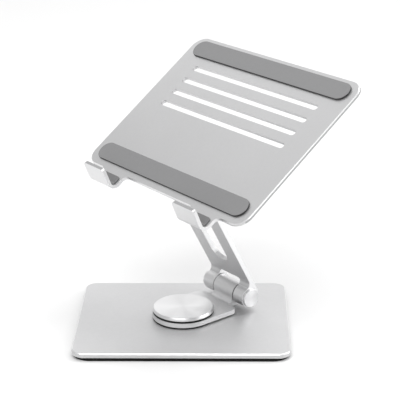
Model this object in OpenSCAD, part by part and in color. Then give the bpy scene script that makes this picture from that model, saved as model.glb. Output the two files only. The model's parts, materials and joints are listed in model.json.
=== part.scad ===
// Folding laptop stand: a weighted base plate, a swivel tongue that turns on a
// vertical pivot, one inclined arm between two friction hinges, and a tilting
// tray with two front hooks. Millimetres, +Z up, front of the base towards -Y.
// The origin is the middle of the base's underside.

/* [Base] */
// Width of the base plate
base_w = 200; // [180:1:230]
// Depth of the base plate
base_d = 160; // [150:1:190]
// Thickness of the metal base plate
base_t = 4.5; // [4:0.1:6]
// Corner radius of the base plate
base_r = 12; // [8:0.5:18]
// Thickness of the rubber sheet under the base
sole_t = 3.2; // [1.5:0.1:3.5]

/* [Swivel] */
// Turn of the arm and tray from the front of the base, clockwise from above
swivel_angle = 51.1; // [0:0.1:360]
// Radius of the round pivot cap
cap_r = 29.3; // [26:0.1:32]
// Thickness of the tongue that carries the arm
tongue_t = 4.3; // [4:0.1:5.5]
// Distance from the pivot to the lower hinge
hinge_y = 58.2; // [56:0.1:66]
// Height of the lower hinge above the base plate
hinge_z = 13.7; // [13:0.1:16]

/* [Arm] */
// Lean of the arm from upright, towards the front
arm_lean = 28.4; // [20:0.1:35]
// Distance along the arm from the lower hinge to the upper hinge
arm_len = 135; // [125:1:150]
// Width of the arm
arm_w = 59; // [57:0.5:64]
// Thickness of the arm plate
arm_t = 4.8; // [4:0.1:5]
// Outer radius of the lower hinge
low_r = 10; // [9.8:0.1:10.4]
// Outer radius of the upper hinge
top_r = 8.7; // [8.5:0.1:8.8]

/* [Tray] */
// Width of the tray
tray_w = 237; // [225:1:260]
// Depth of the tray without its hooks
tray_d = 174.7; // [170:1:200]
// Thickness of the tray sheet
tray_t = 3.2; // [2.8:0.1:3.4]
// Corner radius of the tray
tray_r = 14.5; // [8:0.5:18]
// Tilt of the tray from level
tray_tilt = 35.3; // [20:0.1:40]
// Width of each front hook
hook_w = 32; // [26:0.5:40]
// Length of each hook's lip above its bend
lip_l = 17; // [15:0.5:26]
// Number of air slots
slot_n = 4; // [2:1:4]

/* [Hidden] */
$fn = 96;

// Colours
silver = [0.83, 0.83, 0.84];
bright = [0.93, 0.93, 0.94];
steel = [0.62, 0.63, 0.65];
bronze = [0.72, 0.56, 0.33];
black = [0.06, 0.06, 0.07];
pad_grey = [0.56, 0.57, 0.58];

// Small values that many parts share
eps = 0.01;
through = 1;
bite = 0.04;

// Base and pivot stack; heights below are measured from the top of the base plate
base_top = sole_t + base_t;
base_chamfer = 0.9;
low_chamfer = 0.4;
sole_inset = 0.7;
sole_r = base_r + 5;
sole_chamfer = 0.4;
pin_r = 5;
head_r = 11;
head_t = 1.8;
glide = 0.05;
ring_t = 1.7;
ring_inset = 0.3;
top_ring_t = 1.9;
tongue_z = ring_t;
tongue_top = tongue_z + tongue_t;
washer_r = 11.5;
washer_t = 1;
spring_r = 10.5;
spring_t = 0.5;
spring_h = 1.05;
cap_z = tongue_top + top_ring_t;
cap_t = 3.1;
cap_rim = 0.4;
cap_room_r = 12.5;
cap_room_h = 2.1;
cap_chamfer = 1.2;
ring_inner_r = 12.2;
bush_r = 7;
clip_z = tongue_top + glide + washer_t + spring_h + glide;
clip_t = 1;
clip_w = 3.3;
clip_gap = 50;
groove_r = 4.2;
pin_tip = 0.5;

// Tongue
tongue_r = cap_r + 0.3;
tongue_back = 43.6;
tongue_back_half = cap_r - 0.6;
tongue_corner_r = 6.5;
neck_fillet = 5;
neck_root = 8;
neck_toe = 4;
neck_heel_angle = 60;
barrel_half = 14.5;
barrel_neck_half = 14;

// Hinges: the same stack on both, |u| is the distance from the middle plane
knuckle_in = barrel_half + 0.9;
washer_gap = 0.1;
arm_half = arm_w / 2;
end_cap_t = 2.5;
end_cap_dish = 0.3;
end_cap_chamfer = 0.6;
end_cap_rim = 0.9;
end_cap_inset = 0.9;
spigot_t = 1.5;
spigot_fit = 0.05;
seat_u = 20;
pin_head_t = 3;
disc_n = 3;
disc_h = 0.9;
nut_t = 4;
low_pin_r = 4;
top_pin_r = 3.5;
low_seat_r = 7.2;
top_seat_r = 6.2;
bush_wall = 1.5;
bush_l = 10;

// Arm: n is the distance behind the lower hinge, square to the arm
arm_n = 6.7;
arm_back = arm_n + arm_t;
top_n = 16.6;
low_fillet = 6;
top_fillet = 5;
low_fork = 14.3;
top_fork = 13;
fork_r = 3.5;
plate_end = 2;
slot_r = 11.5;
slot_low = 33.5;
slot_high = arm_len - 33;

// Tray: v runs back from its front edge, w up from its top face
hinge_v = 33.6;
hinge_drop = 15.3;
foot_t = 3;
foot_w = 58;
foot_front = 15.7;
foot_back = 53.7;
foot_r = 5;
foot_chamfer = 0.6;
foot_under = hinge_drop - tray_t - foot_t;
neck_half = 7;
bracket_fillet = 4;
screw_u = 22;
screw_side = 6;
screw_d = 3;
screw_head_d = 6;
screw_head_h = 1.5;
screw_fit = 0.02;
hex_d = 2.2;
pad_t = 1.8;
pad_d = 19.6;
pad_side = 8.5;
front_pad_v = 17.1;
rear_pad_v = tray_d - 14.8;
slot_pitch = 16;
slot_w = 6.1;
slot_l = 180;
slot_first_v = 88.5;
tray_chamfer = 0.8;
hook_u = 69;
hook_overlap = 3;
root_r = 4.5;
bend_v = -9.5;
bend_r = 5;
lip_lean = 13;
lip_corner_r = 4;
liner_t = 1.2;
liner_start = -3;
liner_side = 3;
liner_lip = 14;
liner_corner_r = 3;

// ---------- frames ----------
module swivel_frame() translate([0, 0, base_top]) rotate([0, 0, -swivel_angle]) children();

module arm_frame() swivel_frame() translate([0, hinge_y, hinge_z]) rotate([arm_lean, 0, 0]) children();

module top_hinge_frame() arm_frame() translate([0, top_n, arm_len]) children();

module tray_frame() top_hinge_frame() rotate([tray_tilt - arm_lean, 0, 0])
    translate([0, -hinge_v, hinge_drop]) children();

// ---------- shapes that repeat ----------
// Flat outline extruded along +X, its own x to +Y and its y to +Z
module along_x(length) rotate([90, 0, 90]) linear_extrude(length, center = true) children();

// Ring or disc about the X axis, from one distance along X to another
module x_ring(from, to, outer, inner = 0)
    translate([from, 0, 0])
        rotate([0, 90, 0])
            difference() {
                cylinder(r = outer, h = to - from);
                if (inner > 0)
                    translate([0, 0, -1]) cylinder(r = inner, h = to - from + 2);
            }

// Half section of a plate from its middle to its edge, chamfered above and below
function edge_section(half, t, top_c, low_c) = [
    [0, 0], [half - low_c, 0], [half, low_c], [half, t - top_c], [half - top_c, t], [0, t]];

// Rounded rectangular plate with chamfered edges, its underside at z = 0
module chamfered_plate(w, d, t, r, top_c, low_c) {
    for (x = [-1, 1], y = [-1, 1])
        translate([x * (w / 2 - r), y * (d / 2 - r), 0])
            rotate_extrude() polygon(edge_section(r, t, top_c, low_c));
    for (side = [0, 1]) {
        mirror([0, side, 0]) along_x(w - 2 * r) polygon(edge_section(d / 2, t, top_c, low_c));
        mirror([side, 0, 0]) rotate([90, 0, 0]) linear_extrude(d - 2 * r, center = true)
            polygon(edge_section(w / 2, t, top_c, low_c));
    }
}

// Straight slot or pad outline with round ends along X
module stadium(length, width) {
    square([length - width, width], center = true);
    for (x = [-1, 1])
        translate([x * (length - width) / 2, 0]) circle(d = width);
}

// Rectangle from y = 0 up to a length, its two far corners round
module rounded_end(half, length, r) {
    translate([-half, 0]) square([2 * half, length - r]);
    translate([-half + r, 0]) square([2 * (half - r), length]);
    for (x = [-1, 1])
        translate([x * (half - r), length - r]) circle(r);
}

// ---------- base ----------
module base_plate()
    color(silver)
        difference() {
            translate([0, 0, sole_t]) chamfered_plate(base_w, base_d, base_t, base_r, base_chamfer, low_chamfer);
            translate([0, 0, sole_t - through]) cylinder(r = pin_r, h = base_t + 2 * through);
            translate([0, 0, sole_t - through]) cylinder(r = head_r, h = head_t + through);
        }

module base_rubber_sole()
    color(black)
        chamfered_plate(base_w - 2 * sole_inset, base_d - 2 * sole_inset, sole_t,
            sole_r, eps, sole_chamfer);

module pivot_pin()
    color(steel)
        translate([0, 0, base_top])
            difference() {
                union() {
                    translate([0, 0, -base_t]) cylinder(r = head_r, h = head_t);
                    translate([0, 0, -base_t]) cylinder(r = pin_r, h = base_t + clip_z + clip_t + pin_tip);
                }
                translate([0, 0, clip_z])
                    difference() {
                        cylinder(r = pin_r + through, h = clip_t);
                        translate([0, 0, -through]) cylinder(r = groove_r, h = clip_t + 2 * through);
                    }
            }

// Flat ring round the pivot
module pivot_ring(z, t, outer, inner)
    translate([0, 0, base_top + z])
        rotate_extrude() translate([inner, 0]) square([outer - inner, t]);

module lower_glide_ring()
    color(black) pivot_ring(0, ring_t - glide, tongue_r - ring_inset, pin_r + 1);

module upper_glide_ring()
    color(black)
        pivot_ring(tongue_top + glide, top_ring_t - glide, cap_r - ring_inset, ring_inner_r);

module thrust_washer()
    color(steel) pivot_ring(tongue_top + glide, washer_t, washer_r, pin_r);

module pivot_disc_spring()
    color(steel)
        translate([0, 0, base_top + tongue_top + washer_t + glide])
            rotate_extrude()
                polygon([[spring_r, 0], [spring_r, spring_t], [pin_r + 0.2, spring_h],
                    [pin_r + 0.2, spring_h - spring_t]]);

module pivot_retaining_clip()
    color(steel)
        translate([0, 0, base_top + clip_z])
            rotate([0, 0, clip_gap / 2])
                rotate_extrude(angle = 360 - clip_gap) translate([groove_r, 0]) square([clip_w, clip_t]);

module pivot_cap()
    color(bright)
        translate([0, 0, base_top + cap_z])
            difference() {
                rotate_extrude()
                    polygon([[0, 0], [cap_r - cap_rim, 0], [cap_r, cap_rim],
                        [cap_r, cap_t - cap_chamfer], [cap_r - cap_chamfer, cap_t], [0, cap_t]]);
                translate([0, 0, -through]) cylinder(r = cap_room_r, h = cap_room_h + through);
            }

// ---------- swivel ----------
module tongue_outline() {
    circle(tongue_r);
    polygon([[-tongue_r, 0], [tongue_r, 0], [tongue_back_half, tongue_back - tongue_corner_r],
        [-tongue_back_half, tongue_back - tongue_corner_r]]);
    rounded_end(tongue_back_half, tongue_back, tongue_corner_r);
}

// Side view of the neck, round the barrel's axis: a block with a concave front
module neck_section() {
    fillet_z = tongue_top + neck_fillet - bite - hinge_z;
    fillet_y = -sqrt(pow(low_r + neck_fillet - bite, 2) - pow(fillet_z, 2));
    root_y = tongue_back - neck_root - hinge_y;
    difference() {
        polygon([[root_y, tongue_z - hinge_z], [-neck_toe, tongue_z - hinge_z],
            (low_r - bite) * [cos(neck_heel_angle), -sin(neck_heel_angle)], [0, 0], [fillet_y, fillet_z],
            [fillet_y, tongue_top - 2 * bite - hinge_z], [root_y, tongue_top - 2 * bite - hinge_z]]);
        translate([fillet_y, fillet_z]) circle(neck_fillet);
    }
}

module swivel_tongue()
    color(silver)
        swivel_frame()
            difference() {
                union() {
                    translate([0, 0, tongue_z]) linear_extrude(tongue_t) tongue_outline();
                    translate([0, hinge_y, hinge_z]) {
                        along_x(2 * barrel_neck_half) neck_section();
                        x_ring(-barrel_half, barrel_half, low_r);
                    }
                }
                translate([0, 0, tongue_z - through]) cylinder(r = bush_r, h = tongue_t + 2 * through);
                translate([0, hinge_y, hinge_z])
                    x_ring(-barrel_half - through, barrel_half + through, low_pin_r + bush_wall);
            }

module pivot_bush()
    color(bronze) pivot_ring(tongue_z, tongue_t, bush_r, pin_r + glide);

// Two plain bushes, one in each end of a barrel
module barrel_bushes(shaft_r)
    for (side = [0, 1])
        mirror([side, 0, 0])
            x_ring(barrel_half - bush_l, barrel_half, shaft_r + bush_wall, shaft_r + glide);

module lower_hinge_bushes()
    color(bronze) swivel_frame() translate([0, hinge_y, hinge_z]) barrel_bushes(low_pin_r);

// ---------- hinge hardware ----------
module hinge_pin(shaft_r, seat_r)
    color(steel) {
        x_ring(-seat_u - pin_head_t, -seat_u, seat_r - 0.6);
        x_ring(-seat_u, arm_half - spigot_t - washer_gap, shaft_r);
    }

module hinge_washers(shaft_r, outer)
    color(black)
        for (side = [0, 1])
            mirror([side, 0, 0])
                x_ring(barrel_half + washer_gap, knuckle_in - washer_gap, outer, shaft_r);

// Dished spring washers stacked under the nut
module hinge_disc_springs(shaft_r, seat_r)
    color(steel)
        for (i = [1 : disc_n])
            translate([seat_u + i - glide, 0, 0])
                rotate([0, -90, 0])
                    rotate_extrude()
                        polygon([[seat_r - 0.5, disc_h - spring_t + glide], [seat_r - 0.5, disc_h],
                            [shaft_r + washer_gap, spring_t], [shaft_r + washer_gap, 0]]);

module hinge_nut(shaft_r, seat_r)
    color(steel)
        translate([seat_u + disc_n + washer_gap, 0, 0])
            rotate([0, 90, 0])
                difference() {
                    cylinder(r = seat_r - 0.4, h = nut_t, $fn = 6);
                    translate([0, 0, -through]) cylinder(r = shaft_r, h = nut_t + 2 * through);
                }

module hinge_end_caps(outer, seat_r)
    color(bright)
        for (side = [0, 1])
            mirror([side, 0, 0])
                translate([arm_half, 0, 0])
                    rotate([0, 90, 0])
                        rotate_extrude()
                            polygon([[0, -spigot_t], [seat_r - spigot_fit, -spigot_t],
                                [seat_r - spigot_fit, 0], [outer - end_cap_dish, 0], [outer, end_cap_dish],
                                [outer, end_cap_t - end_cap_chamfer], [outer - end_cap_chamfer, end_cap_t],
                                [outer - end_cap_chamfer - end_cap_rim, end_cap_t],
                                [outer - 2 * end_cap_chamfer - end_cap_rim, end_cap_t - end_cap_dish],
                                [0, end_cap_t - end_cap_dish]]);

module lower_hinge_pin() arm_frame() hinge_pin(low_pin_r, low_seat_r);
module lower_hinge_washers() arm_frame() hinge_washers(low_pin_r, low_r - 0.6);
module lower_hinge_disc_springs() arm_frame() hinge_disc_springs(low_pin_r, low_seat_r);
module lower_hinge_nut() arm_frame() hinge_nut(low_pin_r, low_seat_r);
module lower_hinge_end_caps() arm_frame() hinge_end_caps(low_r - end_cap_inset, low_seat_r);
module upper_hinge_pin() top_hinge_frame() hinge_pin(top_pin_r, top_seat_r);
module upper_hinge_washers() top_hinge_frame() hinge_washers(top_pin_r, top_r - 0.6);
module upper_hinge_disc_springs() top_hinge_frame() hinge_disc_springs(top_pin_r, top_seat_r);
module upper_hinge_nut() top_hinge_frame() hinge_nut(top_pin_r, top_seat_r);
module upper_hinge_end_caps() top_hinge_frame() hinge_end_caps(top_r - end_cap_inset, top_seat_r);

// ---------- arm ----------
// Side view of the concave fillet from a round to a face that lies offset from its axis
module fillet_section(r, fillet, offset) {
    fillet_n = offset - fillet + bite;
    fillet_s = sqrt(pow(r + fillet - bite, 2) - pow(fillet_n, 2));
    difference() {
        polygon([[0, 0], [fillet_n, fillet_s], [offset + through, fillet_s], [offset + through, 0]]);
        translate([fillet_n, fillet_s]) circle(fillet);
    }
}

// Knuckle across the whole arm, blended into a face of the arm's plate
module knuckle(r, fillet, offset) {
    x_ring(-arm_half, arm_half, r);
    along_x(arm_w) fillet_section(r, fillet, offset);
}

module arm_body() {
    along_x(arm_w) translate([arm_n, plate_end]) square([arm_t, arm_len - plate_end]);
    translate([0, arm_n, plate_end]) x_ring(-arm_half, arm_half, arm_t);
    translate([0, arm_back, arm_len]) x_ring(-arm_half, arm_half, arm_t);
    knuckle(low_r, low_fillet, arm_n);
    translate([0, top_n, arm_len]) rotate([180, 0, 0]) knuckle(top_r, top_fillet, top_n - arm_back);
}

// Gap in one end of the arm, between its two knuckles, from its open end up along the arm
module fork_gap(length)
    translate([0, top_n + top_r + through, 0])
        rotate([90, 0, 0])
            linear_extrude(top_n + top_r + low_r + 2 * through)
                rounded_end(knuckle_in, length, fork_r);

module arm_link()
    color(silver)
        arm_frame()
            difference() {
                arm_body();
                translate([0, 0, -low_r - through]) fork_gap(low_r + through + low_fork);
                translate([0, 0, arm_len + top_r + through])
                    mirror([0, 0, 1]) fork_gap(top_r + through + top_fork);
                translate([0, arm_back + through, (slot_low + slot_high) / 2])
                    rotate([90, 0, 0])
                        linear_extrude(arm_t + 2 * through)
                            rotate(90) stadium(slot_high - slot_low, 2 * slot_r);
                x_ring(-arm_half - through, arm_half + through, low_pin_r);
                translate([0, top_n, arm_len])
                    x_ring(-arm_half - through, arm_half + through, top_pin_r);
                for (side = [0, 1])
                    mirror([side, 0, 0]) {
                        x_ring(seat_u, arm_half + through, low_seat_r);
                        translate([0, top_n, arm_len]) x_ring(seat_u, arm_half + through, top_seat_r);
                    }
            }

// ---------- tray ----------
// Points on an arc round [0, 0], from one angle to another
function arc(r, from, to, steps = 14) = [
    for (i = [0 : steps]) r * [cos(from + (to - from) * i / steps), sin(from + (to - from) * i / steps)]];

// Side view of a bent strip round [0, 0]: a tail towards +x, a bend and a lip that leans back
function bent_strip(outer, inner, tail, lip) = concat(
    [[tail, -outer]],
    arc(outer, -90, -180 - lip_lean),
    [lip * [sin(lip_lean), cos(lip_lean)] - outer * [cos(lip_lean), -sin(lip_lean)],
        lip * [sin(lip_lean), cos(lip_lean)] - inner * [cos(lip_lean), -sin(lip_lean)]],
    arc(inner, -180 - lip_lean, -90),
    [[tail, -inner]]);

// What is cut off to round the two upper corners of a strip, upright in the strip's plane
module corner_cuts(w, top, r)
    for (side = [0, 1])
        mirror([side, 0, 0])
            translate([w / 2 - r + bite, 0, top - r + bite])
                rotate([90, 0, 0])
                    linear_extrude(4 * bend_r, center = true)
                        difference() {
                            square(r + through);
                            circle(r);
                        }

// Fillets in the corners between a hook's sides and the tray's front edge
module root_fillets()
    for (side = [0, 1])
        mirror([side, 0, 0])
            translate([hook_w / 2 + root_r - bite, -root_r + bite])
                difference() {
                    translate([-root_r - through, 0]) square([root_r + through, root_r + through]);
                    circle(root_r);
                }

// One hook in the tray's frame, its middle at x = 0
module hook() {
    translate([0, bend_v, bend_r])
        difference() {
            along_x(hook_w) polygon(bent_strip(bend_r + tray_t, bend_r, hook_overlap - bend_v, lip_l));
            rotate([-lip_lean, 0, 0]) corner_cuts(hook_w, lip_l, lip_corner_r);
        }
    translate([0, 0, -tray_t]) linear_extrude(tray_t) root_fillets();
}

// Where the bracket's screws go, in the tray's frame
screw_spots = [
    for (x = [-screw_u, screw_u], v = [foot_front + screw_side, foot_back - screw_side]) [x, v]];

module tray_plate()
    color(silver)
        tray_frame()
            difference() {
                union() {
                    translate([0, tray_d / 2, -tray_t])
                        chamfered_plate(tray_w, tray_d, tray_t, tray_r, tray_chamfer, low_chamfer);
                    for (side = [-1, 1])
                        translate([side * hook_u, 0, 0]) hook();
                }
                for (i = [0 : slot_n - 1])
                    translate([0, slot_first_v + i * slot_pitch, -tray_t - through])
                        linear_extrude(tray_t + 2 * through) stadium(slot_l, slot_w);
                for (spot = screw_spots)
                    translate([spot.x, spot.y, -tray_t - through]) cylinder(d = screw_d, h = 2 + through);
            }

// Side view of the bracket's neck, from the barrel's axis up to the foot
module bracket_neck_section()
    difference() {
        translate([-neck_half - bracket_fillet + through, 0])
            square([2 * (neck_half + bracket_fillet - through), foot_under + eps]);
        for (side = [-1, 1])
            translate([side * (neck_half + bracket_fillet), foot_under - bracket_fillet]) {
                circle(bracket_fillet);
                translate([-bracket_fillet + through, -foot_under])
                    square([2 * (bracket_fillet - through), foot_under]);
            }
    }

module tray_bracket()
    color(silver)
        tray_frame()
            difference() {
                union() {
                    translate([0, (foot_front + foot_back) / 2, -tray_t - foot_t])
                        chamfered_plate(foot_w, foot_back - foot_front, foot_t, foot_r, eps, foot_chamfer);
                    translate([0, hinge_v, -hinge_drop]) {
                        along_x(2 * barrel_neck_half) bracket_neck_section();
                        x_ring(-barrel_half, barrel_half, top_r);
                    }
                }
                translate([0, hinge_v, -hinge_drop])
                    x_ring(-barrel_half - through, barrel_half + through, top_pin_r + bush_wall);
                for (spot = screw_spots)
                    translate([spot.x, spot.y, -tray_t - foot_t]) {
                        translate([0, 0, -through]) cylinder(d = screw_d, h = foot_t + 2 * through);
                        translate([0, 0, -eps])
                            cylinder(d1 = screw_head_d, d2 = screw_d, h = screw_head_h);
                    }
            }

module upper_hinge_bushes()
    color(bronze) top_hinge_frame() barrel_bushes(top_pin_r);

// Countersunk screws from below, with a hexagon socket
module bracket_screws()
    color(steel)
        tray_frame()
            for (spot = screw_spots)
                translate([spot.x, spot.y, -tray_t - foot_t])
                    difference() {
                        union() {
                            cylinder(d1 = screw_head_d - 0.1, d2 = screw_d, h = screw_head_h - glide);
                            cylinder(d = screw_d - screw_fit, h = foot_t + 1.9);
                        }
                        translate([0, 0, -through]) cylinder(d = hex_d, h = 1.2 + through, $fn = 6);
                    }

module tray_pad(v)
    color(pad_grey)
        tray_frame()
            translate([0, v, 0]) linear_extrude(pad_t) stadium(tray_w - 2 * pad_side, pad_d);

module front_tray_pad() tray_pad(front_pad_v);
module rear_tray_pad() tray_pad(rear_pad_v);

// Soft liner that follows the inside of one hook
module hook_pad(side)
    color(pad_grey)
        tray_frame()
            translate([side * hook_u, bend_v, bend_r])
                difference() {
                    along_x(hook_w - 2 * liner_side)
                        polygon(bent_strip(bend_r, bend_r - liner_t, liner_start - bend_v, liner_lip));
                    rotate([-lip_lean, 0, 0])
                        corner_cuts(hook_w - 2 * liner_side, liner_lip, liner_corner_r);
                    rotate([-90, 0, 0])
                        corner_cuts(hook_w - 2 * liner_side, liner_start - bend_v, liner_corner_r);
                }

module left_hook_pad() hook_pad(-1);
module right_hook_pad() hook_pad(1);

base_plate();
base_rubber_sole();
pivot_pin();
lower_glide_ring();
upper_glide_ring();
thrust_washer();
pivot_disc_spring();
pivot_retaining_clip();
pivot_cap();
swivel_tongue();
pivot_bush();
lower_hinge_bushes();
arm_link();
lower_hinge_pin();
lower_hinge_washers();
lower_hinge_disc_springs();
lower_hinge_nut();
lower_hinge_end_caps();
upper_hinge_pin();
upper_hinge_washers();
upper_hinge_disc_springs();
upper_hinge_nut();
upper_hinge_end_caps();
tray_plate();
tray_bracket();
upper_hinge_bushes();
bracket_screws();
front_tray_pad();
rear_tray_pad();
left_hook_pad();
right_hook_pad();
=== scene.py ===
"""Looks of a folding laptop stand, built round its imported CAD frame. Metres, +Z up."""

import json
import math

import bpy
from mathutils import Matrix, Vector

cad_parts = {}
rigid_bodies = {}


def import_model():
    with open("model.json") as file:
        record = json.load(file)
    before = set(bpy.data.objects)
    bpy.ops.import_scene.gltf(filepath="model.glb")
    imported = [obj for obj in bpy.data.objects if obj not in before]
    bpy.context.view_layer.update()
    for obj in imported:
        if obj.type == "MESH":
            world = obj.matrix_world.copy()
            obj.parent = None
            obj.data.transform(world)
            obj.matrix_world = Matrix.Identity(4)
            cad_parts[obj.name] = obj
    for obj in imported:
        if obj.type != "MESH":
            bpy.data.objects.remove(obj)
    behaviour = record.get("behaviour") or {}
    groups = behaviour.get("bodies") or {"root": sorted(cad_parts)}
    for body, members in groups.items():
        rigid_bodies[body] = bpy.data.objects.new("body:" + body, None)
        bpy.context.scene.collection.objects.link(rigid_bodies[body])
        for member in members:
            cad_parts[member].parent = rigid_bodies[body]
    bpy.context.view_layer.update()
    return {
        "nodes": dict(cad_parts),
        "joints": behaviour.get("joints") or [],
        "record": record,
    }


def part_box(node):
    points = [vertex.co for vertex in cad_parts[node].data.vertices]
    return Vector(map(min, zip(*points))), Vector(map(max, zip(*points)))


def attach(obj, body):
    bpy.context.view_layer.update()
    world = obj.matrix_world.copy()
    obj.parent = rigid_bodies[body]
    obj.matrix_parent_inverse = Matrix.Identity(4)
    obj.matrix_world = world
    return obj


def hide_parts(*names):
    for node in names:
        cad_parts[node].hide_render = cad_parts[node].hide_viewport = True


for leftover in list(bpy.data.objects):
    bpy.data.objects.remove(leftover)
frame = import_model()

MM = 0.001
joints = {joint["name"]: joint for joint in frame["joints"]}
mounts = {mount["name"]: mount for mount in frame["record"]["mounts"]}
lower_hinge = Vector(joints["arm_tilt"]["pos_m"])
upper_hinge = Vector(joints["tray_tilt"]["pos_m"])
across = Vector(joints["arm_tilt"]["axis"]).normalized()
tray_up = Vector(mounts["laptop_rest"]["axis"]).normalized()
tray_back = tray_up.cross(across)


# ---------- places ----------
def place(x, z, origin):
    """The frame at origin whose X and Z run along two square directions."""
    y = z.cross(x)
    return Matrix.Translation(origin) @ Matrix((x, y, z)).transposed().to_4x4()


tray_place = place(across, tray_up, upper_hinge)


def extent(node, at):
    """Lowest and highest corner of a CAD node, measured in the frame at."""
    back = at.inverted()
    points = [back @ vertex.co for vertex in frame["nodes"][node].data.vertices]
    low = Vector([min(point[i] for point in points) for i in range(3)])
    high = Vector([max(point[i] for point in points) for i in range(3)])
    return low, high


def depth_of(node):
    """How far along the tray's depth a node's front end lies."""
    return (tray_place @ extent(node, tray_place)[0]).dot(tray_back)


# ---------- camera, floor and lights ----------
CAMERA_PLACE = Vector((0.0401, -1.1912, 0.5663))
PITCH, YAW, ROLL = (math.radians(angle) for angle in (20.27, -1.13, -0.37))
LENS_MM = 123.5
SENSOR_MM = 36
FLOOR_REACH = 12
FLOOR_TONE = 0.82
WORLD_STRENGTH = 0.62
STAND_MIDDLE = (0, 0, 0.12)
# name: place, what it points at, width and height, watts
SOFTBOXES = {
    "key_softbox": ((-0.35, -0.95, 1.95), STAND_MIDDLE, (1.7, 1.1), 24),
    "right_softbox": ((1.7, 0.1, 0.9), STAND_MIDDLE, (0.9, 1.2), 10),
    "top_softbox": ((0.75, 0.45, 1.85), STAND_MIDDLE, (1.2, 0.9), 10),
    "low_right_softbox": ((1.75, -0.75, 0.45), STAND_MIDDLE, (0.9, 0.8), 2),
    "rear_sweep": ((0.0, 2.4, 0.95), STAND_MIDDLE, (3.4, 1.5), 9),
    "floor_wash": ((-0.2, 1.35, 1.6), (-0.2, 1.4, 0), (2.4, 0.9), 5),
}


def add_camera():
    """A long lens in front of the stand, looking down on it from a little above."""
    forward = Vector((math.sin(YAW) * math.cos(PITCH), math.cos(YAW) * math.cos(PITCH), -math.sin(PITCH)))
    level = Vector((math.cos(YAW), -math.sin(YAW), 0))
    upright = level.cross(forward)
    right = level * math.cos(ROLL) + upright * math.sin(ROLL)
    data = bpy.data.cameras.new("camera")
    data.lens = LENS_MM
    data.sensor_width = SENSOR_MM
    camera = bpy.data.objects.new("camera", data)
    camera.matrix_world = place(right, -forward, CAMERA_PLACE)
    bpy.context.scene.collection.objects.link(camera)
    bpy.context.scene.camera = camera


def add_floor():
    """A wide pale floor that the base stands on."""
    mesh = bpy.data.meshes.new("floor")
    corners = [(FLOOR_REACH * x, FLOOR_REACH * y, 0) for x, y in ((-1, -1), (1, -1), (1, 1), (-1, 1))]
    mesh.from_pydata(corners, [], [(0, 1, 2, 3)])
    floor = bpy.data.objects.new("floor", mesh)
    bpy.context.scene.collection.objects.link(floor)
    material = bpy.data.materials.new("pale_floor")
    material.use_nodes = True
    shader = material.node_tree.nodes["Principled BSDF"]
    shader.inputs["Base Color"].default_value = (FLOOR_TONE, FLOOR_TONE, FLOOR_TONE, 1)
    shader.inputs["Roughness"].default_value = 0.9
    shader.inputs["Specular IOR Level"].default_value = 0.1
    mesh.materials.append(material)


def add_softbox(name, at, target, size, power):
    """An area light of a width and height in metres, pointed at a target."""
    data = bpy.data.lights.new(name, "AREA")
    data.shape = "RECTANGLE"
    data.size, data.size_y = size
    data.energy = power
    light = bpy.data.objects.new(name, data)
    light.location = at
    light.rotation_euler = (Vector(target) - Vector(at)).to_track_quat("-Z", "Y").to_euler()
    bpy.context.scene.collection.objects.link(light)


def add_lights():
    """An even white world and six soft boxes."""
    world = bpy.data.worlds.new("studio")
    world.use_nodes = True
    background = world.node_tree.nodes["Background"]
    background.inputs["Color"].default_value = (1, 1, 1, 1)
    background.inputs["Strength"].default_value = WORLD_STRENGTH
    bpy.context.scene.world = world
    for name, (at, target, size, power) in SOFTBOXES.items():
        add_softbox(name, at, target, size, power)
    bpy.context.scene.view_settings.view_transform = "Standard"


# ---------- materials ----------
METAL, NOT_METAL = 1.0, 0.0
# Noise seldom leaves this range
NOISE_RANGE = (0.25, 0.75)
# Lumps per metre of the soft clouds of tone
CLOUDS = 9
# Gloss and coarse bumps, as shares of a surface's grain and bump depth
GLOSS_GRAIN = 0.12
COARSE_GRAIN = 0.3
COARSE_DEPTH = 1.5
# Limits for toward() and facing()
NEARLY_ALONG = 0.9
NEARLY_SQUARE = 0.3
CHAMFER_SPREAD = 0.2
# Width of the flat metal in front of the front pad
FRONT_STRIP = 7.3 * MM
# How far a hook's lip leans back from its foremost point
LIP_REACH = 7 * MM
# Half the width of the middle of the tray, which holds its slots
SLOTS_REACH = 100 * MM
# Just over the radius of the arm's knuckles
KNUCKLE_R = 10.7 * MM


def grey(value, blue=0.005):
    """A grey with a touch of blue."""
    return (value, value, value + blue)


# Near-white of the bright-cut chamfers: a real glossy cut, its near-white tone also a painted highlight
BRIGHT_CUT_AND_HIGHLIGHT = grey(0.93)
# Dark grey of painted shade on the tray's side walls and hook lip tops
PAINTED_SHADE_GREY = grey(0.42)


def blank_material(name, colour, metallic, roughness, **sockets):
    """A Principled material with constant values on the shader's own sockets."""
    material = bpy.data.materials.new(name)
    material.use_nodes = True
    shader = material.node_tree.nodes["Principled BSDF"]
    shader.inputs["Base Color"].default_value = (*colour, 1)
    shader.inputs["Metallic"].default_value = metallic
    shader.inputs["Roughness"].default_value = roughness
    for socket, value in sockets.items():
        shader.inputs[socket.replace("_", " ")].default_value = value
    return material, material.node_tree, shader


def object_point(tree):
    return tree.nodes.new("ShaderNodeTexCoord").outputs["Object"]


def noise(tree, point, scale, detail):
    """Noise whose scale counts its lumps per metre."""
    node = tree.nodes.new("ShaderNodeTexNoise")
    node.inputs["Scale"].default_value = scale
    node.inputs["Detail"].default_value = detail
    tree.links.new(point, node.inputs["Vector"])
    return node.outputs["Fac"]


def spread(tree, value, low, high):
    """Noise brought from its usual middle range to low..high."""
    node = tree.nodes.new("ShaderNodeMapRange")
    node.inputs["From Min"].default_value, node.inputs["From Max"].default_value = NOISE_RANGE
    node.inputs["To Min"].default_value = low
    node.inputs["To Max"].default_value = high
    tree.links.new(value, node.inputs["Value"])
    return node.outputs["Result"]


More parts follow.
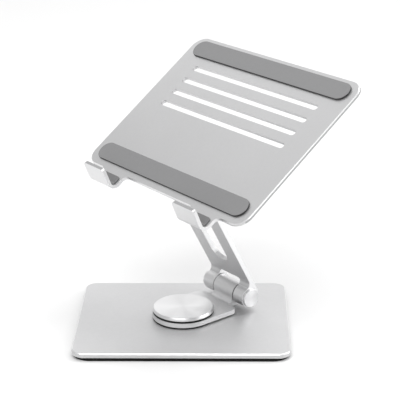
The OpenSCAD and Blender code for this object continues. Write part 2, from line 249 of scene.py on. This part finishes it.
def tone(tree, value, dark, light):
    """A colour between two, by a value from 0 to 1."""
    node = tree.nodes.new("ShaderNodeMix")
    node.data_type = "RGBA"
    node.inputs["A"].default_value = (*dark, 1)
    node.inputs["B"].default_value = (*light, 1)
    tree.links.new(value, node.inputs["Factor"])
    return node.outputs["Result"]


def bumps(tree, shader, heights):
    """Stacks (height, depth in metres) pairs into one bump on the shader."""
    normal = None
    for height, depth in heights:
        node = tree.nodes.new("ShaderNodeBump")
        node.inputs["Distance"].default_value = depth
        tree.links.new(height, node.inputs["Height"])
        if normal:
            tree.links.new(normal, node.inputs["Normal"])
        normal = node.outputs["Normal"]
    tree.links.new(normal, shader.inputs["Normal"])


def calculate(tree, operation, first, second=None):
    """One math node on a link and, where it takes one, a number."""
    node = tree.nodes.new("ShaderNodeMath")
    node.operation = operation
    tree.links.new(first, node.inputs[0])
    if second is not None:
        node.inputs[1].default_value = second
    return node.outputs["Value"]


def along(tree, vector, direction):
    """How far a vector reaches along a direction."""
    node = tree.nodes.new("ShaderNodeVectorMath")
    node.operation = "DOT_PRODUCT"
    node.inputs[1].default_value = direction
    tree.links.new(vector, node.inputs[0])
    return node.outputs["Value"]


def above(tree, value, limit):
    return calculate(tree, "GREATER_THAN", value, limit)


def below(tree, value, limit):
    return calculate(tree, "LESS_THAN", value, limit)


def toward(tree, direction):
    """1 where the surface faces along a direction, 0 where it's square to it, -1 where it faces away."""
    return along(tree, tree.nodes.new("ShaderNodeTexCoord").outputs["Normal"], direction)


def facing(tree, direction):
    """1 where the surface faces along a direction or away from it, 0 where it's square to it."""
    return calculate(tree, "ABSOLUTE", toward(tree, direction))


def on_chamfers(tree, up):
    """1 on the cut edges of a plate, which lean about 45 degrees from up."""
    from_45 = calculate(tree, "SUBTRACT", facing(tree, up), math.sqrt(0.5))
    return below(tree, calculate(tree, "ABSOLUTE", from_45), CHAMFER_SPREAD)


def near_axis(tree, hinge, radius):
    """1 within a radius of a hinge's axis."""
    link = object_point(tree)
    for operation, value in (("SUBTRACT", hinge), ("CROSS_PRODUCT", across), ("LENGTH", None)):
        node = tree.nodes.new("ShaderNodeVectorMath")
        node.operation = operation
        tree.links.new(link, node.inputs[0])
        if value:
            node.inputs[1].default_value = value
        link = node.outputs["Value" if operation == "LENGTH" else "Vector"]
    return below(tree, link, radius)


def both(tree, first, second):
    """1 where two masks are both 1."""
    product = calculate(tree, "MULTIPLY", first)
    tree.links.new(second, product.node.inputs[1])
    return product


def finish_or_paint_light_where(material, mask, colour, roughness):
    """Gives the masked part of a grained surface its own tone and gloss; here the tone mostly paints light
    or shade.
    """
    tree = material.node_tree
    shader = tree.nodes["Principled BSDF"]
    for socket, value in (("Base Color", (*colour, 1)), ("Roughness", roughness)):
        mix = tree.nodes.new("ShaderNodeMix")
        mix.data_type = shader.inputs[socket].type.replace("VALUE", "FLOAT")
        first, second = [plug for plug in mix.inputs if plug.enabled and plug.name in "AB"]
        second.default_value = value
        tree.links.new(mask, mix.inputs["Factor"])
        tree.links.new(shader.inputs[socket].links[0].from_socket, first)
        result = [plug for plug in mix.outputs if plug.enabled][0]
        tree.links.new(result, shader.inputs[socket])


def grained(name, dark, light, metallic, roughness, grain, depth, **sockets):
    """A surface with soft clouds of tone, a gloss between two roughnesses, and a fine grain of bumps."""
    material, tree, shader = blank_material(name, light, metallic, sum(roughness) / 2, **sockets)
    point = object_point(tree)
    clouds = spread(tree, noise(tree, point, CLOUDS, 4), 0, 1)
    tree.links.new(tone(tree, clouds, dark, light), shader.inputs["Base Color"])
    gloss = spread(tree, noise(tree, point, grain * GLOSS_GRAIN, 3), *roughness)
    tree.links.new(gloss, shader.inputs["Roughness"])
    fine = noise(tree, point, grain, 3)
    coarse = noise(tree, point, grain * COARSE_GRAIN, 2)
    bumps(tree, shader, [(coarse, depth * COARSE_DEPTH), (fine, depth)])
    return material


def anodised_aluminium():
    """The tray's sheet: bright-cut chamfers whose near-white tone is also a painted highlight, a painted
    highlight (a paler tone) on the hooks, and painted shade (a dark grey) on the side walls and lip tops.
    """
    metal = grained("anodised_aluminium", grey(0.61), grey(0.65), METAL, (0.38, 0.48), 3200, 6e-6)
    tree = metal.node_tree
    point = object_point(tree)
    depth = along(tree, point, tray_back)
    level = facing(tree, tray_up)
    pad_front = depth_of("front_tray_pad")

    # Painted highlight: the hooks get a paler tone for the light they catch
    painted_lit_hooks = both(tree, below(tree, depth, pad_front - FRONT_STRIP), below(tree, level, NEARLY_ALONG))
    finish_or_paint_light_where(metal, painted_lit_hooks, grey(0.76), 0.45)
    # Bright-cut chamfers, glossier; their near-white tone is also a painted highlight
    finish_or_paint_light_where(metal, on_chamfers(tree, tray_up), BRIGHT_CUT_AND_HIGHLIGHT, 0.3)

    # Painted shade: the side walls behind the front pad and beside the slots, and the tops of the hook
    # lips, get a dark grey
    off_middle = calculate(tree, "SUBTRACT", along(tree, point, across), upper_hinge.dot(across))
    beside_slots = above(tree, calculate(tree, "ABSOLUTE", off_middle), SLOTS_REACH)
    behind = above(tree, depth, pad_front)
    painted_shade_walls = both(tree, below(tree, level, NEARLY_SQUARE), both(tree, behind, beside_slots))
    in_lips = below(tree, depth, depth_of("tray_plate") + LIP_REACH)
    painted_shade_lip_tops = both(tree, in_lips, above(tree, toward(tree, tray_up), NEARLY_ALONG))
    for shaded_part in (painted_shade_walls, painted_shade_lip_tops):
        finish_or_paint_light_where(metal, shaded_part, PAINTED_SHADE_GREY, 0.5)
    return metal


def satin_aluminium():
    """The arm: painted highlights, a lighter tone, round its knuckles and on its two long sides."""
    metal = grained("satin_aluminium", grey(0.62), grey(0.66), METAL, (0.46, 0.56), 3000, 6e-6)
    tree = metal.node_tree
    # Painted highlight: a lighter tone round the knuckles and on the long sides, which face the light
    for hinge in (lower_hinge, upper_hinge):
        finish_or_paint_light_where(metal, near_axis(tree, hinge, KNUCKLE_R), grey(0.76), 0.44)
    finish_or_paint_light_where(metal, above(tree, facing(tree, across), 0.8), grey(0.86), 0.42)
    return metal


# A lighter copy of the aluminium for the tongue and its barrel: painted light, its paler tone stands in for
# light they catch
def painted_lighter_tongue_aluminium():
    return grained("painted_lighter_tongue_aluminium", grey(0.71), grey(0.75), METAL, (0.46, 0.56), 3000, 6e-6)


def base_silver():
    metal = grained("base_silver", grey(0.635), grey(0.675), METAL, (0.54, 0.62), 2600, 8e-6)
    # Bright-cut chamfers, glossier; their near-white tone is also a painted highlight
    finish_or_paint_light_where(metal, on_chamfers(metal.node_tree, (0, 0, 1)), BRIGHT_CUT_AND_HIGHLIGHT, 0.3)
    return metal


def turned_metal(name, colour):
    """Spun face: grooves run round the axis, so the gloss fans out from the middle."""
    material, tree, shader = blank_material(name, colour, METAL, 0.34, Anisotropic=0.8)
    tangent = tree.nodes.new("ShaderNodeTangent")
    tangent.direction_type = "UV_MAP"
    tangent.uv_map = "turning"
    tree.links.new(tangent.outputs["Tangent"], shader.inputs["Tangent"])
    uv = tree.nodes.new("ShaderNodeUVMap")
    uv.uv_map = "turning"
    split = tree.nodes.new("ShaderNodeSeparateXYZ")
    tree.links.new(uv.outputs["UV"], split.inputs["Vector"])
    rings = tree.nodes.new("ShaderNodeTexNoise")
    rings.noise_dimensions = "1D"
    rings.inputs["Scale"].default_value = 900
    rings.inputs["Detail"].default_value = 3
    tree.links.new(split.outputs["X"], rings.inputs["W"])
    tree.links.new(spread(tree, rings.outputs["Fac"], 0.31, 0.38), shader.inputs["Roughness"])
    bumps(tree, shader, [(rings.outputs["Fac"], 4e-7)])
    return material


def turned_aluminium():
    return turned_metal("turned_aluminium", grey(0.77))


# A lighter copy of the turned metal for the end caps: painted light, its paler tone stands in for light
# they catch
def painted_lighter_turned_aluminium():
    return turned_metal("painted_lighter_turned_aluminium", grey(0.83))


def sole_rubber():
    return grained("sole_rubber", grey(0.008, 0), grey(0.014, 0), NOT_METAL, (0.62, 0.8), 1800, 3e-5,
                   Specular_IOR_Level=0.1)


def grey_silicone():
    """The tray's pads: grey on top, with painted shade, near black, round their sides."""
    silicone = grained("grey_silicone", grey(0.2, 0.003), grey(0.222, 0.003), NOT_METAL, (0.55, 0.68), 2400,
                       1.6e-5, Sheen_Weight=0.12, Sheen_Roughness=0.5)
    tree = silicone.node_tree
    # Painted shade: the pads' sides get a near-black tone
    finish_or_paint_light_where(silicone, below(tree, facing(tree, tray_up), 0.7), grey(0.03, 0.001), 0.8)
    return silicone


def dark_silicone():
    return grained("dark_silicone", grey(0.155, 0.002), grey(0.18, 0.002), NOT_METAL, (0.55, 0.68), 2400,
                   1.6e-5, Sheen_Weight=0.1, Sheen_Roughness=0.5)


def black_acetal():
    return grained("black_acetal", grey(0.006, 0), grey(0.01, 0), NOT_METAL, (0.5, 0.62), 2200, 6e-6,
                   Specular_IOR_Level=0.25)


def hardware_steel():
    return grained("hardware_steel", (0.5, 0.505, 0.51), (0.58, 0.585, 0.59), METAL, (0.22, 0.36), 2000,
                   5e-6)


def spring_steel():
    return grained("spring_steel", (0.34, 0.335, 0.33), (0.42, 0.415, 0.41), METAL, (0.3, 0.42), 2000,
                   5e-6)


def bronze():
    return grained("bronze", (0.5, 0.36, 0.19), (0.62, 0.46, 0.26), METAL, (0.36, 0.5), 1500, 1.2e-5)


materials = {make.__name__: make() for make in (
    anodised_aluminium, satin_aluminium, painted_lighter_tongue_aluminium, base_silver, turned_aluminium,
    painted_lighter_turned_aluminium, sole_rubber, grey_silicone, dark_silicone, black_acetal, hardware_steel,
    spring_steel, bronze)}


# ---------- CAD nodes that stay ----------
JOIN_WITHIN = 0.002 * MM
FLAT_WITHIN = math.radians(0.4)
CREASE = math.radians(28)
SHADING_WEIGHT = 60
SOFT_EDGES = {"base_plate": 0.25 * MM, "swivel_tongue": 0.45 * MM, "arm_link": 0.6 * MM,
              "tray_plate": 0.3 * MM, "tray_bracket": 0.3 * MM}


def even_shading(piece):
    piece.modifiers.new("even_shading", "WEIGHTED_NORMAL").weight = SHADING_WEIGHT


def bevel_edges(piece, name, width, segments, corners):
    """Rounds a piece's edges with modifiers; its own mesh isn't touched."""
    piece.modifiers.new("join_faces", "WELD").merge_threshold = JOIN_WITHIN
    flat = piece.modifiers.new("flat_faces", "DECIMATE")
    flat.decimate_type = "DISSOLVE"
    flat.angle_limit = FLAT_WITHIN
    bevel = piece.modifiers.new(name, "BEVEL")
    bevel.width = width
    bevel.segments = segments
    bevel.limit_method = "ANGLE"
    bevel.angle_limit = CREASE
    bevel.miter_outer = corners
    even_shading(piece)


def finish_cad_nodes():
    """Gives every CAD node its material and the bare metal parts soft edges."""
    for row in frame["record"]["subparts"]:
        piece = frame["nodes"][row["node"]]
        piece.data.materials[0] = materials[row["material_slot"]]
    # The tongue takes the lighter copy of the aluminium: painted light
    frame["nodes"]["swivel_tongue"].data.materials[0] = materials["painted_lighter_tongue_aluminium"]
    for node, width in SOFT_EDGES.items():
        bevel_edges(frame["nodes"][node], "soft_edges", width, 3, "MITER_ARC")


# ---------- pieces ----------
ARC_STEPS = 5


def add_piece(name, points, faces, at, body, slot, nodes, uvs=None):
    """A mesh piece given in the frame at, riding on a body and standing for CAD nodes."""
    mesh = bpy.data.meshes.new(name)
    mesh.from_pydata([at @ Vector(point) for point in points], [], faces)
    for polygon in mesh.polygons:
        polygon.use_smooth = True
    if uvs:
        layer = mesh.uv_layers.new(name="turning")
        for loop, uv in zip(layer.data, uvs):
            loop.uv = uv
    mesh.materials.append(materials[slot])
    piece = bpy.data.objects.new(name, mesh)
    bpy.context.scene.collection.objects.link(piece)
    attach(piece, body)
    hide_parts(*nodes)
    return piece


def rounded_outline(width, depth, radius, steps):
    """Points round a rectangle with round corners, anticlockwise."""
    outline = []
    corners = ((1, 1, 0), (-1, 1, 90), (-1, -1, 180), (1, -1, 270))
    for side_x, side_y, start in corners:
        for i in range(steps + 1):
            turn = math.radians(start + 90 * i / steps)
            outline.append((side_x * (width / 2 - radius) + radius * math.cos(turn),
                            side_y * (depth / 2 - radius) + radius * math.sin(turn)))
    return outline


def rounded_plate(name, low, high, radius, profile, steps, **rest):
    """A plate between two corners, its edge following (inset, height) pairs from the bottom up."""
    width, depth = high.x - low.x, high.y - low.y
    middle = (low + high) / 2
    rings = [rounded_outline(width - 2 * inset, depth - 2 * inset, radius - inset, steps)
             for inset, _ in profile]
    count = len(rings[0])
    points = [(middle.x + x, middle.y + y, low.z + height)
              for ring, (_, height) in zip(rings, profile) for x, y in ring]
    faces = [tuple(range(count - 1, -1, -1)), tuple(range(len(points) - count, len(points)))]
    for level in range(len(rings) - 1):
        for i in range(count):
            a, b = level * count + i, level * count + (i + 1) % count
            faces.append((a, b, b + count, a + count))
    even_shading(add_piece(name, points, faces, **rest))


def round_edge(height, bottom, top):
    """Edge profile of a plate, its lower and upper edges rounded with two radii."""
    turns = [math.pi / 2 * i / ARC_STEPS for i in range(ARC_STEPS + 1)]
    lower = [(bottom * (1 - math.sin(turn)), bottom * (1 - math.cos(turn))) for turn in turns]
    upper = [(top * (1 - math.cos(turn)), height - top * (1 - math.sin(turn))) for turn in turns]
    return lower + upper


def lathed(name, profile, steps, **rest):
    """A turned piece: (radius, height) pairs spun about the frame's Z, with ends closed flat."""
    points, faces, uvs, runs = [], [], [], []
    run = 0
    for i, (radius, height) in enumerate(profile):
        if i:
            run += math.dist(profile[i - 1], profile[i])
        runs.append(run)
        for j in range(steps):
            turn = 2 * math.pi * j / steps
            points.append((radius * math.cos(turn), radius * math.sin(turn), height))
    for i in range(len(profile) - 1):
        for j in range(steps):
            k = (j + 1) % steps
            faces.append((i * steps + j, i * steps + k, (i + 1) * steps + k, (i + 1) * steps + j))
            uvs += [(runs[i], j / steps), (runs[i], (j + 1) / steps),
                    (runs[i + 1], (j + 1) / steps), (runs[i + 1], j / steps)]
    first = tuple(range(steps - 1, -1, -1))
    last = tuple(range(len(points) - steps, len(points)))
    for face, at_run in ((first, runs[0]), (last, runs[-1])):
        faces.append(face)
        uvs += [(at_run + profile[-1][0] * math.cos(2 * math.pi * (i % steps) / steps), 0) for i in face]
    piece = add_piece(name, points, faces, uvs=uvs, **rest)
    even_shading(piece)
    return piece


def arc_profile(centre, radius, start, end):
    """Profile points on an arc, its angles in degrees from the outward direction."""
    turns = [math.radians(start + (end - start) * i / ARC_STEPS) for i in range(ARC_STEPS + 1)]
    return [(centre[0] + radius * math.cos(turn), centre[1] + radius * math.sin(turn)) for turn in turns]


def make_sole():
    """The rubber sole under the base, a plate with round corners."""
    low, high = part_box("base_rubber_sole")
    edge = round_edge(high.z - low.z, bottom=0.5 * MM, top=0.3 * MM)
    rounded_plate("rubber_sole", low, high, radius=17 * MM, profile=edge, steps=16,
                  at=Matrix.Identity(4), body="base", slot="sole_rubber", nodes=["base_rubber_sole"])


def make_tray_pad(which):
    """A silicone strip with half-round ends, rounded over along its top."""
    node = which + "_tray_pad"
    low, high = extent(node, tray_place)
    edge = round_edge(high.z - low.z, bottom=0.05 * MM, top=0.55 * MM)
    rounded_plate(which + "_silicone_pad", low, high, radius=(high.y - low.y) / 2, profile=edge, steps=20,
                  at=tray_place, body="tray", slot="grey_silicone", nodes=[node])


def make_pivot_cap():
    """The turned cap on the base, with a chamfered rim and a face sunk a little below it."""
    low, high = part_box("pivot_cap")
    radius, height = high.x, high.z - low.z
    foot = 0.5 * MM
    rim = 1.3 * MM
    soft = 0.25 * MM
    lip = 0.6 * MM
    dish = 0.05 * MM
    hub = 0.3 * MM
    profile = [(hub, 0), (radius - foot, 0)]
    profile += arc_profile((radius - foot, foot), foot, -90, 0)
    profile += [(radius, height - rim - soft)]
    profile += arc_profile((radius - rim, height - soft), soft, 45, 90)
    profile += [(radius - rim - lip, height - dish), (hub, height - dish)]
    lathed("pivot_cap_disc", profile, 128, at=Matrix.Translation((0, 0, low.z)), body="base",
           slot="turned_aluminium", nodes=["pivot_cap"])


def make_end_cap(name, node, hinge, side):
    """A turned cap on one end of a hinge: a narrower spigot, and a dished face with a rounded rim."""
    at = place(Vector((0, 0, 1)), across * side, hinge)
    high = extent(node, at)[1]
    radius = high.x
    face = high.z
    back = face - 2.5 * MM
    spigot_end = back - 1.4 * MM
    spigot_r = radius - 3.2 * MM
    edge = 0.6 * MM
    lip = 0.9 * MM
    dish = 0.3 * MM
    hub = 0.2 * MM
    profile = [(hub, spigot_end), (spigot_r, spigot_end), (spigot_r, back)]
    profile += [(radius - dish, back), (radius, back + dish)]
    profile += arc_profile((radius - edge, face - edge), edge, 0, 90)
    profile += [(radius - edge - lip, face), (radius - edge - lip - dish, face - dish), (hub, face - dish)]
    cap = lathed(name, profile, 72, at=at, body="arm", slot="turned_aluminium", nodes=[node])
    # The end caps take the lighter copy of the turned metal: painted light
    cap.data.materials[0] = materials["painted_lighter_turned_aluminium"]


def make_end_caps():
    for level, hinge in (("lower", lower_hinge), ("upper", upper_hinge)):
        for which, side in (("left", -1), ("right", 1)):
            make_end_cap(f"{level}_{which}_end_cap", level + "_hinge_end_caps", hinge, side)


def make_hook_liner(which):
    """A copy of the liner's solid with its edges rounded like moulded silicone."""
    node = which + "_hook_pad"
    solid = frame["nodes"][node].data
    piece = add_piece(which + "_hook_liner", [vertex.co for vertex in solid.vertices],
                      [tuple(face.vertices) for face in solid.polygons], Matrix.Identity(4), "tray",
                      "dark_silicone", [node])
    bevel_edges(piece, "round_edges", 0.4 * MM, 4, "MITER_SHARP")


add_camera()
add_floor()
add_lights()
finish_cad_nodes()
make_sole()
for row_of_pad in ("front", "rear"):
    make_tray_pad(row_of_pad)
for side_of_hook in ("left", "right"):
    make_hook_liner(side_of_hook)
make_pivot_cap()
make_end_caps()
